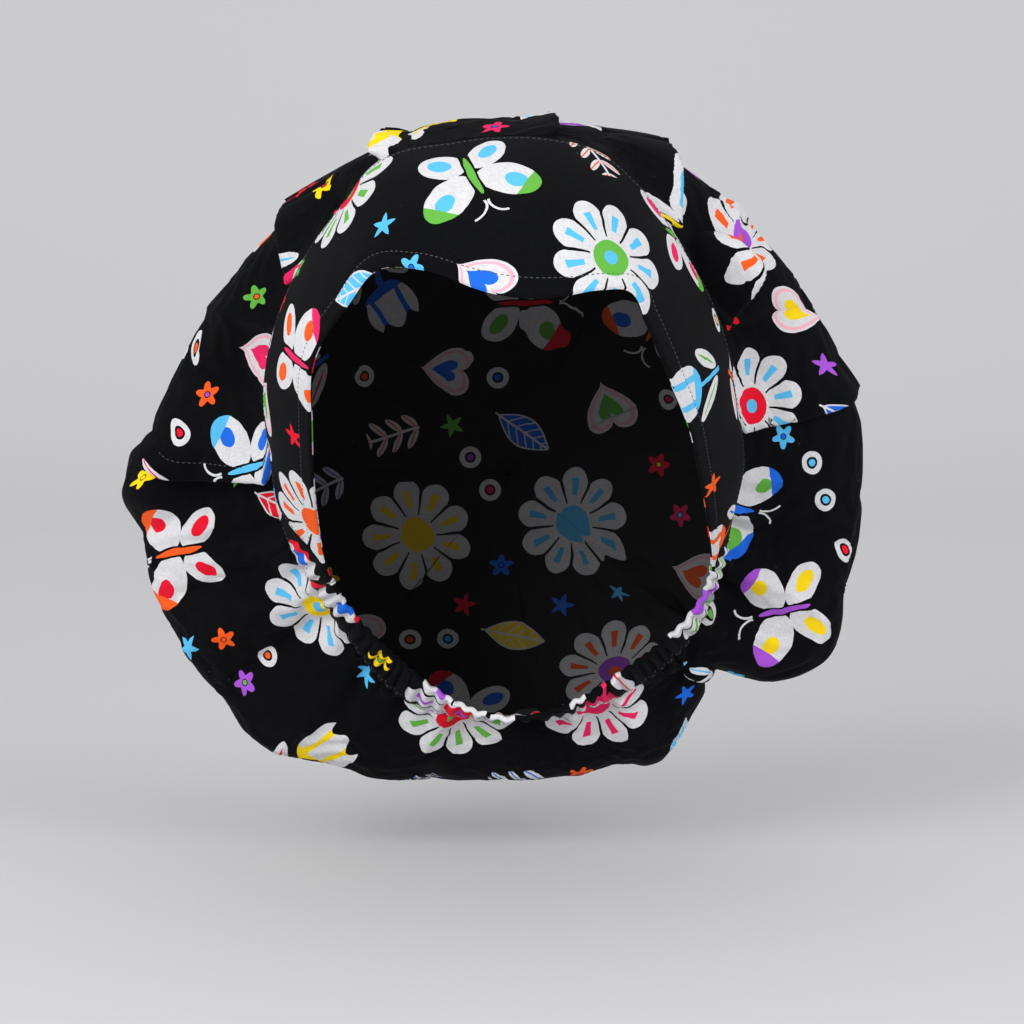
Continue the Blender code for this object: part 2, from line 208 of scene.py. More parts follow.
class CapSizes(PropertyGroup):
    """Sizes of the cap's cloth."""

    crown_reach: FloatProperty(
        name="Crown reach", default=0.1283, unit="LENGTH",
        description="Middle of the rings to the crown's cloth")
    face_reach: FloatProperty(
        name="Face reach", default=0.085, unit="LENGTH",
        description="Middle of the rings to the front edge at its sides")
    seam_reach: FloatProperty(
        name="Seam reach", default=0.120, unit="LENGTH",
        description="Middle of the rings to the pouch seam near the top")
    pouch_reach: FloatProperty(
        name="Pouch reach", default=0.165, unit="LENGTH",
        description="Middle of the rings to the widest part of the pouch")
    brow_depth: FloatProperty(
        name="Brow depth", default=0.082, unit="LENGTH",
        description="Origin forwards to the band's front edge at the brow")
    nape_depth: FloatProperty(
        name="Nape depth", default=0.085, unit="LENGTH",
        description="Origin backwards to the casing's seam at the nape")
    pouch_depth: FloatProperty(
        name="Pouch depth", default=0.172, unit="LENGTH",
        description="Origin backwards to the back of the pouch")
    pouch_sag: FloatProperty(
        name="Pouch sag", default=0.026, unit="LENGTH",
        description="How far the back of the pouch hangs below the middle")
    band_curve: FloatProperty(
        name="Band curve", default=0.090, unit="LENGTH",
        description="Radius that the band bends to between its two edges")
    back_fullness: FloatProperty(
        name="Back fullness", default=2.3,
        description="Exponent of the back curve; 2 is an ellipse")
    band_wall: FloatProperty(
        name="Band wall", default=0.0016, unit="LENGTH", description="Doubled band cloth")
    pouch_wall: FloatProperty(
        name="Pouch wall", default=0.0010, unit="LENGTH", description="Pouch cloth")
    casing_wall: FloatProperty(
        name="Casing wall", default=0.0022, unit="LENGTH", description="Casing over elastic")
    seam_gap: FloatProperty(
        name="Seam gap", default=0.0003, unit="LENGTH",
        description="Clearance between sewn neighbours")
    seam_setback: FloatProperty(
        name="Seam setback", default=0.016, unit="LENGTH",
        description="Pouch cloth that first follows the band before it turns out")
    rim_rounding: FloatProperty(
        name="Rim rounding", default=0.024, unit="LENGTH",
        description="Length over which the pouch turns round its widest ring")
    band_left_tip: FloatProperty(
        name="Left tip angle", default=-127.0, description="Angle of the band's -X tip")
    band_right_tip: FloatProperty(
        name="Right tip angle", default=122.0, description="Angle of the band's +X tip")
    casing_left_start: FloatProperty(
        name="Casing left start", default=-101.0,
        description="Angle where the casing leaves the pouch seam on the -X side")
    casing_right_start: FloatProperty(
        name="Casing right start", default=106.0,
        description="Angle where the casing leaves the pouch seam on the +X side")
    tip_width: FloatProperty(
        name="Tip width", default=0.0012, unit="LENGTH",
        description="Cloth left across each blunt tip")


class ClothLook(PropertyGroup):
    """Colours and finish of the cloth."""

    ground: FloatVectorProperty(
        name="Ground", subtype="COLOR", size=3, default=(0.0008, 0.0009, 0.0013),
        description="Dyed black ground of the cloth")
    white: FloatVectorProperty(
        name="White ink", subtype="COLOR", size=3, default=(0.74, 0.74, 0.76),
        description="White of the print")
    blush: FloatVectorProperty(
        name="Blush ink", subtype="COLOR", size=3, default=(0.86, 0.42, 0.50),
        description="Pale pink outline of the print")
    thread: FloatVectorProperty(
        name="Thread", subtype="COLOR", size=3, default=(0.044, 0.048, 0.060),
        description="Sewing thread")
    roughness: FloatProperty(
        name="Roughness", default=0.76, description="Roughness of the cotton")
    specular: FloatProperty(
        name="Specular", default=0.070, description="Specular level of the cotton")
    sheen: FloatProperty(
        name="Sheen", default=0.016, description="Weight of the fuzz on the cotton")
    sheen_roughness: FloatProperty(
        name="Sheen roughness", default=0.40, description="Spread of the fuzz's light")
    bump_distance: FloatProperty(
        name="Weave height", default=0.00012, unit="LENGTH", description="Height of the threads")
    weave_pitch: FloatProperty(
        name="Weave pitch", default=0.00062, unit="LENGTH",
        description="Distance between neighbouring threads")
    print_seed: IntProperty(
        name="Print seed", default=11, description="Layout of the tossed motifs")


class StageSettings(PropertyGroup):
    """Camera, floor and lights."""

    camera_distance: FloatProperty(
        name="Camera distance", default=1.3, unit="LENGTH",
        description="Camera to the origin's plane")
    camera_side: FloatProperty(
        name="Camera side", default=0.0015, unit="LENGTH", description="Camera's X")
    camera_height: FloatProperty(
        name="Camera height", default=-0.003, unit="LENGTH", description="Camera's Z")
    camera_tilt: FloatProperty(
        name="Camera tilt", default=math.radians(6.5), subtype="ANGLE",
        description="How far the camera looks down")
    lens: FloatProperty(
        name="Lens", default=117.2, description="Focal length on a 36 mm sensor, in mm")
    floor_drop: FloatProperty(
        name="Floor drop", default=0.312, unit="LENGTH",
        description="Floor below the origin")
    paper: FloatVectorProperty(
        name="Paper", subtype="COLOR", size=3, default=(0.60, 0.60, 0.61),
        description="Colour of the backdrop and of the light from all round")
    world_strength: FloatProperty(
        name="World strength", default=1.17, description="Light from all round")


def smooth_step(value):
    """Rise from 0 to 1 with level ends as the value goes from 0 to 1."""
    level = np.clip(value, 0.0, 1.0)
    return level * level * (3.0 - 2.0 * level)


def unit(vectors):
    """Vectors made one long."""
    return vectors / np.maximum(np.linalg.norm(vectors, axis=-1, keepdims=True), 1e-12)


def bell(value, middle, width):
    """Rise to 1 at a middle value and fall off on both sides within about a width."""
    return np.exp(-((value - middle) / width) ** 2)


def around(rows, column, angles):
    """Read a table's column at any angles: cubic pieces that close on themselves."""
    table = np.array(rows, dtype=float)
    knots = np.concatenate((table[-2:, 0] - 360.0, table[:, 0], table[:2, 0] + 360.0))
    values = np.concatenate((table[-2:, column], table[:, column], table[:2, column]))
    slopes = np.gradient(values, knots)
    turned = (np.asarray(angles) + 180.0) % 360.0 - 180.0
    left = np.clip(np.searchsorted(knots, turned, side="right") - 1, 0, len(knots) - 2)
    span = knots[left + 1] - knots[left]
    part = (turned - knots[left]) / span
    start = values[left] * (1.0 + 2.0 * part) * (1.0 - part) ** 2
    end = values[left + 1] * part ** 2 * (3.0 - 2.0 * part)
    lean = slopes[left] * part * (1.0 - part) ** 2 - slopes[left + 1] * part ** 2 * (1.0 - part)
    return start + end + lean * span


def to_space(sizes, angles, reach, depth, drop=0.0):
    """Turn angle, reach and depth into X, Y, Z; drop lowers the middle of the ring."""
    turn = np.radians(angles)
    middle = -(sizes.crown_reach - sizes.pouch_wall / 2)
    height = middle - drop + reach * np.cos(turn)
    return np.stack(np.broadcast_arrays(reach * np.sin(turn), depth, height), axis=-1)


def rim_sections(sizes, angles):
    """Front edge, bend and pouch seam at each angle, as (reach, depth) pairs."""
    span = sizes.brow_depth + sizes.nape_depth
    front = np.stack((sizes.face_reach * around(FACE_EDGE, 1, angles),
                      span * around(FACE_EDGE, 2, angles) - sizes.brow_depth), axis=-1)
    seam = np.stack((sizes.seam_reach * around(POUCH_SEAM, 1, angles),
                     span * around(POUCH_SEAM, 2, angles) - sizes.brow_depth), axis=-1)
    chord = seam - front
    width = np.linalg.norm(chord, axis=-1, keepdims=True)
    outward = np.stack((chord[..., 1], -chord[..., 0]), axis=-1) / width
    bend = (front + seam) / 2 + outward * width ** 2 / (4.0 * sizes.band_curve)
    return front, bend, seam


def rim_surface(sizes, angles, across):
    """Rim: a quadratic curve from the front edge (across 0) to the pouch seam (1)."""
    front, bend, seam = rim_sections(sizes, angles)
    part = np.asarray(across)[..., None]
    flat = front * (1 - part) ** 2 + bend * 2 * part * (1 - part) + seam * part ** 2
    return to_space(sizes, angles, flat[..., 0], flat[..., 1])


def rim_width(sizes, angles):
    """Width of the rim from its front edge to the pouch seam."""
    front, bend, seam = rim_sections(sizes, angles)
    return (np.linalg.norm(seam - bend, axis=-1) + np.linalg.norm(bend - front, axis=-1)
            + np.linalg.norm(seam - front, axis=-1)) / 2


def rim_split(sizes, angles):
    """Share of the rim that the band takes, and the clearance beside it as a share."""
    left = ((angles - sizes.band_left_tip)
            / (sizes.casing_left_start - sizes.band_left_tip))
    right = ((sizes.band_right_tip - angles)
             / (sizes.band_right_tip - sizes.casing_right_start))
    width = rim_width(sizes, angles)
    has_band = (angles >= sizes.band_left_tip) & (angles <= sizes.band_right_tip)
    has_casing = (angles <= sizes.casing_left_start) | (angles >= sizes.casing_right_start)
    share = smooth_step(np.minimum(left, right))
    share = np.where(has_band, np.maximum(share, sizes.tip_width / width), 0.0)
    share = np.where(has_casing, np.minimum(share, 1.0 - sizes.tip_width / width), 1.0)
    return share, np.where(has_band & has_casing, sizes.seam_gap / width, 0.0)


def pouch_base(sizes, angles, way):
    """Smooth pouch: a cubic curve from the seam to the widest ring, then a superellipse
    to the pole; way is 0 at the seam, FRONT_SHARE on the widest ring and 1 at the pole."""
    front, bend, seam = rim_sections(sizes, angles)
    leave = unit(seam - bend)
    start = seam + sizes.seam_gap * leave
    widest = np.stack((sizes.pouch_reach * around(POUCH_OUTLINE, 1, angles),
                       sizes.pouch_depth * around(POUCH_OUTLINE, 2, angles)), axis=-1)
    turn_in = start + sizes.seam_setback * leave
    turn_back = widest - np.array((0.0, sizes.rim_rounding))
    part = np.clip(way / FRONT_SHARE, 0.0, 1.0)[..., None]
    flat = (start * (1 - part) ** 3 + turn_in * 3 * part * (1 - part) ** 2
            + turn_back * 3 * part ** 2 * (1 - part) + widest * part ** 3)
    behind = np.clip((way - FRONT_SHARE) / (1.0 - FRONT_SHARE), 0.0, 1.0)
    swing = behind * math.pi / 2
    shrink = np.cos(swing) ** (2.0 / sizes.back_fullness)
    reach = np.where(behind > 0, widest[..., 0] * shrink, flat[..., 0])
    back = np.sin(swing) ** (2.0 / sizes.back_fullness)
    depth = widest[..., 1] + (sizes.pouch_depth - widest[..., 1]) * back
    depth = np.where(behind > 0, depth, flat[..., 1])
    return to_space(sizes, angles, reach, depth, sizes.pouch_sag * (1.0 - shrink))


def outward_normals(surface, sizes, angles, way):
    """Unit normals of a surface function, from small steps both ways."""
    turn, step = 0.2, 0.004
    along = surface(sizes, angles + turn, way) - surface(sizes, angles - turn, way)
    ahead = np.minimum(way + step, 1.0)
    behind = np.maximum(way - step, 0.0)
    across = surface(sizes, angles, ahead) - surface(sizes, angles, behind)
    return unit(np.cross(along, across))


def fold_angle(row, way):
    """Angle of a fold or ridge at each share of the way from the seam."""
    return row[0] + (row[1] - row[0]) * np.clip(way / FRONT_SHARE, 0.0, 1.0)


def gather_angle(angles):
    """Angle that runs slightly uneven, so that gathers aren't all alike."""
    turn = np.radians(angles)
    return turn + 0.020 * np.sin(7.0 * turn) + 0.011 * np.sin(17.0 * turn + 1.0)


def fold_place(row, angles, way):
    """Place across a fold: 0 on its line, growing downwards, 1 at its far edge."""
    return math.copysign(1.0, row[0]) * (angles - fold_angle(row, way)) / row[2]


def fold_swing(row, angles, way):
    """Angle that a fold's overhang shifts each point by, in degrees, at full strength."""
    inside = np.clip(fold_place(row, angles, way), -1.0, 1.0)
    swing = np.sin(math.pi * inside) * (1.0 + np.cos(math.pi * inside)) / 1.3
    return -math.copysign(1.0, row[0]) * row[2] * row[3] * swing


def folded_pouch(sizes, angles, way):
    """Pouch with its folds: angles swing back and forth under each overhang, ridges and
    gathers rise along the normal, and dog-ears stand out and forwards from the seam."""
    moved = angles.copy()
    offset = np.zeros_like(angles)
    for row in OVERHANG_FOLDS:
        place = fold_place(row, angles, way)
        start = smooth_step(way / row[6])
        overhang = start * smooth_step((row[7] - way) / 0.20)
        swelling = start * smooth_step((row[8] - way) / 0.26)
        moved += overhang * fold_swing(row, angles, way)
        under = smooth_step((place + 0.36) / 0.72) * (1.0 - smooth_step((place - 0.36) / 1.5))
        over = bell(place, -0.30, 0.34)
        lift = np.maximum(overhang, row[9] * swelling)
        offset += sizes.pouch_reach * (row[5] * over * lift - row[4] * under * swelling)
    for start, peak, level, end, height, first, last in NOSES:
        across = smooth_step((moved - start) / (peak - start))
        across = across * (1.0 - smooth_step((moved - level) / (end - level)))
        along = smooth_step((way - first) / 0.14) * smooth_step((last - way) / 0.26)
        offset += sizes.pouch_reach * height * across * along
    for row in RIDGES:
        turned = (angles - fold_angle(row, way) + 180.0) % 360.0 - 180.0
        place = np.abs(turned) / row[2]
        length = row[5] - row[4]
        strength = smooth_step((way - row[4]) / (0.3 * length))
        strength = strength * smooth_step((row[5] - way) / (0.5 * length))
        crest = np.exp(0.25 - np.sqrt(place ** 2 + 0.0625) * (1.0 + 0.5 * place))
        offset += sizes.pouch_reach * row[3] * strength * crest
    nape = smooth_step((np.abs(angles) - 101.0) / 10.0)
    for waves, height, end in NAPE_GATHERS:
        fade = smooth_step(way / 0.02) * (1.0 - smooth_step(way / end))
        ripple = np.sin(gather_angle(angles) * waves + waves)
        offset += sizes.pouch_reach * height * nape * fade * ripple
    base = pouch_base(sizes, moved, way)
    folded = base + outward_normals(pouch_base, sizes, moved, way) * offset[..., None]
    for angle, spot, width, length, outwards, forwards in DOG_EARS:
        away = np.hypot((angles - angle) / width, (way - spot) / length)
        dome = np.maximum(1.0 - away ** 2, 0.0) * smooth_step(way / 0.09)
        turn = np.radians(angle)
        pull = np.array((outwards * math.sin(turn), -forwards, outwards * math.cos(turn)))
        folded = folded + dome[..., None] * pull * sizes.pouch_reach
    return folded


def wave_noise(points, seed, wavelength, octaves=3, waves=7):
    """Smooth noise: a sum of sine waves in random directions, each octave half as long
    and half as high as the one before."""
    rng = np.random.default_rng(seed)
    total = np.zeros(points.shape[:-1])
    height = 1.0
    for octave in range(octaves):
        for wave in range(waves):
            direction = rng.normal(size=3)
            direction /= np.linalg.norm(direction)
            turns = 2 * math.pi * (points @ direction) / (wavelength * rng.uniform(0.8, 1.4))
            total += height * np.sin(turns + rng.uniform(0, 2 * math.pi))
        height *= 0.5
        wavelength *= 0.5
    return total / 5.0


def crowded_angles(count):
    """Angles once round, closer together where folds and ridges need more columns."""
    fine = np.linspace(-180.0, 180.0, 14401)
    density = np.ones_like(fine)
    for row in OVERHANG_FOLDS:
        centre = (row[0] + row[1]) / 2
        density += 2.2 * bell(fine, centre, 0.80 * row[2])
    for row in RIDGES:
        density += 0.4 * bell(fine, row[1], 1.6 * row[2])
    density += 1.4 * smooth_step((np.abs(fine) - 98.0) / 8.0)
    total = np.concatenate(((0.0,), np.cumsum((density[1:] + density[:-1]) / 2)))
    return np.interp(np.arange(count) * total[-1] / count, total, fine)


def grid_normals(points, closed):
    """Unit normals of a grid of points, by central differences."""
    if closed:
        along = np.roll(points, -1, axis=0) - np.roll(points, 1, axis=0)
    else:
        along = np.gradient(points, axis=0)
    return unit(np.cross(along, np.gradient(points, axis=1)))


def wall_room(middle, normals, half, attempts=8, thinning=0.7, least=0.1):
    """Half thickness of a closed grid's wall: the given one, made thinner step by step
    at each point beside which a side of the wall would turn back on itself. A side turns
    back where its step goes on by less than the least share of the middle's step."""
    room = np.full(middle.shape[:2] + (1,), half)
    round_step = np.roll(middle, -1, axis=0) - middle
    way_step = np.diff(middle, axis=1, append=middle[:, -1:])
    for attempt in range(attempts):
        tight = np.zeros(middle.shape[:2], dtype=bool)
        for side in (1.0, -1.0):
            wall = middle + side * normals * room
            move = np.roll(wall, -1, axis=0) - wall
            back = (move * round_step).sum(axis=-1) < least * (round_step ** 2).sum(axis=-1)
            tight |= back | np.roll(back, 1, axis=0)
            move = np.diff(wall, axis=1, append=wall[:, -1:])
            back = (move * way_step).sum(axis=-1) < least * (way_step ** 2).sum(axis=-1)
            back[:, -1] = False
            tight |= back | np.roll(back, 1, axis=1)
        tight |= np.roll(tight, 1, axis=0) | np.roll(tight, -1, axis=0)
        room = np.where(tight[..., None], room * thinning, room)
    return room


def add_object(name, data):
    """Object of some data, in the scene."""
    item = bpy.data.objects.new(name, data)
    bpy.context.scene.collection.objects.link(item)
    return item


def settle_cloth(points, faces, hold):
    """Let Blender's cloth settle without gravity: the weave grows by a share, so it buckles
    into soft wrinkles, while springs hold each point near its place by its weight.

    The mesh is ten times as large while it settles, because the solver is steadier so."""
    scale = 10.0
    mesh = bpy.data.meshes.new("settling")
    mesh.from_pydata(points * scale, [], faces)
    cloth = add_object("settling", mesh)
    scene = bpy.context.scene
    group = cloth.vertex_groups.new(name="hold")
    for weight in np.unique(hold):
        group.add(np.nonzero(hold == weight)[0].tolist(), float(weight), "REPLACE")
    modifier = cloth.modifiers.new("settle", "CLOTH")
    settings = modifier.settings
    settings.quality = 5
    settings.mass = 0.3
    settings.tension_stiffness = 40.0
    settings.compression_stiffness = 40.0
    settings.shear_stiffness = 12.0
    settings.bending_stiffness = 1.5
    settings.air_damping = 2.0
    settings.effector_weights.gravity = 0.0
    settings.vertex_group_mass = "hold"
    settings.pin_stiffness = 1.0
    settings.shrink_min = -SETTLE_GROWTH
    modifier.collision_settings.use_collision = False
    modifier.point_cache.frame_start = 1
    modifier.point_cache.frame_end = SETTLE_FRAMES
    for frame_number in range(1, SETTLE_FRAMES + 1):
        scene.frame_set(frame_number)
    settled = cloth.evaluated_get(bpy.context.evaluated_depsgraph_get())
    moved = np.empty(len(mesh.vertices) * 3)
    settled.data.vertices.foreach_get("co", moved)
    scene.frame_set(1)
    bpy.data.objects.remove(cloth)
    bpy.data.meshes.remove(mesh)
    return moved.reshape(-1, 3) / scale


def wrinkles_only(start, end):
    """Keep only the short waves of a move over a closed grid: most of its average over
    nearby columns and rows is taken off, and what is left is capped smoothly."""
    wide, tall, taken_off = 20, 6, 0.85
    move = end - start
    broad = move
    for pass_number in range(3):
        total = np.cumsum(np.concatenate((broad[-wide:], broad, broad[:wide])), axis=0)
        broad = (total[2 * wide:] - total[:-2 * wide]) / (2 * wide)
        padded = np.pad(broad, ((0, 0), (tall, tall), (0, 0)), mode="edge")
        total = np.cumsum(padded, axis=1)
        broad = (total[:, 2 * tall:] - total[:, :-2 * tall]) / (2 * tall)
    move = move - taken_off * broad
    length = np.maximum(np.linalg.norm(move, axis=-1, keepdims=True), 1e-12)
    return start + move * (WRINKLE_LIMIT * np.tanh(length / WRINKLE_LIMIT) / length)


def shell_faces(columns, rows, closed):
    """Quads of a grid of columns by rows, as indices column * rows + row."""
    column = np.arange(columns if closed else columns - 1)[:, None]
    row = np.arange(rows - 1)[None, :]
    here = column * rows + row
    there = (column + 1) % columns * rows + row
    return np.stack((here, there, there + 1, here + 1), axis=-1).reshape(-1, 4)


def rim_faces(line, other, closed):
    """Quads that join two equal lines of indices."""
    line = np.asarray(line)
    other = np.asarray(other)
    if closed:
        line = np.append(line, line[0])
        other = np.append(other, other[0])
    return np.stack((line[1:], line[:-1], other[:-1], other[1:]), axis=-1)


class Shell:
    """Closed wall of cloth over a grid: outer points, inner points, and joined rims."""

    def __init__(self, outer, inner, rest, cloth, closed, pole):
        columns, rows = outer.shape[:2]
        count = columns * rows
        outer_faces = shell_faces(columns, rows, closed)
        inner_faces = outer_faces[:, ::-1] + count
        index = np.arange(count).reshape(columns, rows)
        rims = [rim_faces(index[:, 0], index[:, 0] + count, closed)]
        if not pole:
            rims.append(rim_faces(index[::-1, -1], index[::-1, -1] + count, closed))
        if not closed:
            rims.append(rim_faces(index[0, ::-1], index[0, ::-1] + count, False))
            rims.append(rim_faces(index[-1], index[-1] + count, False))
        self.points = np.concatenate((outer.reshape(-1, 3), inner.reshape(-1, 3)))
        self.rest = np.concatenate((rest.reshape(-1, 3), rest.reshape(-1, 3)))
        self.cloth = np.concatenate((cloth.reshape(-1, 2), cloth.reshape(-1, 2)))
        self.quads = np.concatenate([outer_faces, inner_faces] + rims)
        self.inside = np.zeros(len(self.quads), dtype=int)
        self.inside[len(outer_faces):len(outer_faces) * 2] = 1
        self.caps = []
        if pole:
            last = index[:, -1]
            self.caps = [last[::-1], last + count]


def toss_motifs(rest, normals, seed):
    """Scatter motifs over a cloth by dart throwing, the largest first.

    Each has a centre on the cloth, two axes in its plane turned by a random angle, a
    radius, a kind and two tints."""
    rng = np.random.default_rng(seed)
    centres, radii, rows = [], [], []
    for radius, wanted, kinds in MOTIF_SIZES:
        tries = rng.integers(0, len(rest), wanted * MOTIF_TRIES)
        placed = 0
        for trial in tries:
            if placed >= wanted:
                break
            spot = rest[trial]
            if centres:
                apart = np.linalg.norm(np.array(centres) - spot, axis=1)
                if np.any(apart < np.array(radii) + radius + MOTIF_GAP):
                    continue
            turn = rng.uniform(0, 2 * math.pi)
            normal = normals[trial]
            side = np.cross(normal, (math.cos(turn), math.sin(turn), 0.3))
            side /= max(np.linalg.norm(side), 1e-9)
            up = np.cross(normal, side)
            centres.append(spot)
            radii.append(radius)
            rows.append((*spot, *side, *up, radius, kinds[placed % len(kinds)],
                         rng.uniform(), rng.uniform()))
            placed += 1
    return np.array(rows)


def print_coordinates(shell, motifs):
    """Give each face its nearest motif, and each corner its place in that motif.

    The place points along the motif's two axes and is as long as the corner's distance
    from its centre, over its radius, so that a bend in the cloth doesn't stretch it."""
    corners = shell.rest[shell.quads]
    middles = corners.mean(axis=1)
    nearest = np.zeros(len(middles), dtype=int)
    batch = 8192
    for first in range(0, len(middles), batch):
        part = middles[first:first + batch]
        apart = np.linalg.norm(part[:, None, :] - motifs[None, :, :3], axis=-1)
        nearest[first:first + batch] = np.argmin(apart - motifs[None, :, 9], axis=1)
    row = motifs[nearest]
    offset = corners - row[:, None, :3]
    place = np.stack(((offset * row[:, None, 3:6]).sum(axis=-1),
                      (offset * row[:, None, 6:9]).sum(axis=-1)), axis=-1)
    length = np.linalg.norm(offset, axis=-1, keepdims=True)
    place *= length / np.maximum(np.linalg.norm(place, axis=-1, keepdims=True), 1e-6)
    place = np.clip(place / (MOTIF_FILL * row[:, None, 9:10]), -NO_PLACE, NO_PLACE)
    far = np.linalg.norm(middles - row[:, :3], axis=1) > row[:, 9] * MOTIF_LIMIT
    return place, np.where(far, 0.0, row[:, 10]), row[:, 11], row[:, 12]


def cloth_object(name, shell, motifs, inner_motifs, materials):
    """Make a mesh object of a shell, with its print and weave coordinates; the inner side
    takes a print of its own where the cloth is doubled."""
    faces = shell.quads.tolist() + [cap.tolist() for cap in shell.caps]
    mesh = bpy.data.meshes.new(name)
    mesh.from_pydata(shell.points, [], faces)
    for material in materials:
        mesh.materials.append(material)
    found = print_coordinates(shell, motifs)
    if inner_motifs is not None:
        inside = shell.inside == 1
        for values, other in zip(found, print_coordinates(shell, inner_motifs)):
            values[inside] = other[inside]
    place, kind, tint, second = found
    spare = sum(len(cap) for cap in shell.caps)
    flat = np.concatenate((place.reshape(-1, 2), np.full((spare, 2), NO_PLACE)))
    layer = mesh.uv_layers.new(name="motif")
    layer.data.foreach_set("uv", flat.ravel())
    corner_points = np.concatenate([shell.quads.ravel()] + list(shell.caps))
    weave = mesh.uv_layers.new(name="cloth")
    weave.data.foreach_set("uv", shell.cloth[corner_points].ravel())
    for label, values in (("kind", kind), ("tint", tint), ("second", second)):
        attribute = mesh.attributes.new(label, "FLOAT", "FACE")
        attribute.data.foreach_set("value", np.append(values, np.zeros(len(shell.caps))))
    if len(materials) > 1:
        side = np.append(shell.inside, np.arange(len(shell.caps)))
        mesh.polygons.foreach_set("material_index", side)
    mesh.shade_smooth()
    mesh.update()
    return add_object(name, mesh)


class Nodes:
    """Short calls that add shader nodes to a material and join them."""

    def __init__(self, material):
        self.tree = material.node_tree

    def add(self, kind, **values):
        """Add a node and set its properties."""
        node = self.tree.nodes.new(kind)
        for name, value in values.items():
            setattr(node, name, value)
        return node

    def feed(self, socket, value):
        """Join a value or another node's output to a socket."""
        if isinstance(value, bpy.types.NodeSocket):
            self.tree.links.new(value, socket)
        else:
            socket.default_value = value

    def math(self, operation, *values):
        """Math node of one operation."""
        node = self.add("ShaderNodeMath", operation=operation)
        for socket, value in zip(node.inputs, values):
            self.feed(socket, value)
        return node.outputs[0]

    def times(self, value, factor):
        """Value times a factor."""
        return self.math("MULTIPLY", value, factor)

    def scaled(self, value, factor, extra):
        """Value times a factor, and something added."""
        return self.math("MULTIPLY_ADD", value, factor, extra)

    def size(self, value):
        """Value without its sign."""
        return self.math("ABSOLUTE", value)

    def below(self, value, limit):
        """1 where the value is under the limit."""
        return self.math("LESS_THAN", value, limit)

    def above(self, value, limit):
        """1 where the value is over the limit."""
        return self.math("GREATER_THAN", value, limit)

    def near(self, value, middle, reach):
        """1 where the value is less than a reach from the middle."""
        return self.below(self.size(self.math("SUBTRACT", value, middle)), reach)

    def both(self, *masks):
        """1 where every mask is 1."""
        result = masks[0]
        for mask in masks[1:]:
            result = self.times(result, mask)
        return result

    def any(self, *masks):
        """1 where at least one mask is 1."""
        result = masks[0]
        for mask in masks[1:]:
            result = self.math("MAXIMUM", result, mask)
        return result

    def ellipse(self, across, up, middle, radii, turn=0.0):
        """Squared distance from an ellipse's middle: under 1 inside it."""
        dx = self.math("SUBTRACT", across, middle[0])
        dy = self.math("SUBTRACT", up, middle[1])
        ca, sa = math.cos(turn), math.sin(turn)
        along = self.scaled(dx, ca / radii[0], self.times(dy, sa / radii[0]))
        side = self.scaled(dx, -sa / radii[1], self.times(dy, ca / radii[1]))
        return self.scaled(along, along, self.times(side, side))

    def oval(self, *where):
        """1 inside an ellipse."""
        return self.below(self.ellipse(*where), 1.0)

    def mix(self, share, first, second):
        """Colour between two by a share."""
        node = self.add("ShaderNodeMix", data_type="RGBA")
        self.feed(node.inputs[0], share)
        self.feed(node.inputs[6], first)
        self.feed(node.inputs[7], second)
        return node.outputs[2]

    def ink(self, value):
        """One of the print's inks, chosen by a value from 0 to 1."""
        ramp = self.add("ShaderNodeValToRGB")
        ramp.color_ramp.interpolation = "CONSTANT"
        while len(ramp.color_ramp.elements) < len(INKS):
            ramp.color_ramp.elements.new(0.5)
        for index, colour in enumerate(INKS):
            ramp.color_ramp.elements[index].position = index / len(INKS)
            ramp.color_ramp.elements[index].color = (*colour, 1.0)
        self.feed(ramp.inputs[0], value)
        return ramp.outputs[0]

    def split(self, vector):
        """X, Y and Z of a vector."""
        node = self.add("ShaderNodeSeparateXYZ")
        self.feed(node.inputs[0], vector)
        return node.outputs

    def texture(self, kind, vector, scale, detail):
        """Outputs of a texture node."""
        node = self.add(kind)
        node.inputs["Scale"].default_value = scale
        node.inputs["Detail"].default_value = detail
        self.feed(node.inputs["Vector"], vector)
        return node.outputs

    def slubs(self, place, across, up):
        """Uneven threads: noise stretched along one direction of the weave."""
        vector = self.add("ShaderNodeCombineXYZ")
        self.feed(vector.inputs[0], self.times(place[0], across))
        self.feed(vector.inputs[1], self.times(place[1], up))
        return self.texture("ShaderNodeTexNoise", vector.outputs[0], 1.0, 1.0)[0]

    def attribute(self, name):
        """Value of a face attribute."""
        return self.add("ShaderNodeAttribute", attribute_name=name).outputs["Fac"]


def draw_daisy(n, x, y, radius, angle):
    """White petals, a tinted middle and stripes on the petals."""
    wave = n.size(n.math("COSINE", n.times(angle, 4.5)))
    edge = n.scaled(n.math("POWER", wave, 0.45), 0.38, 0.58)
    petals = n.both(n.below(radius, edge), n.above(wave, 0.17))
    white = n.any(petals, n.below(radius, 0.34))
    stripe = n.both(petals, n.above(wave, 0.93), n.near(radius, 0.62, 0.15))
    return white, n.below(radius, 0.29), n.any(stripe, n.below(radius, 0.11))


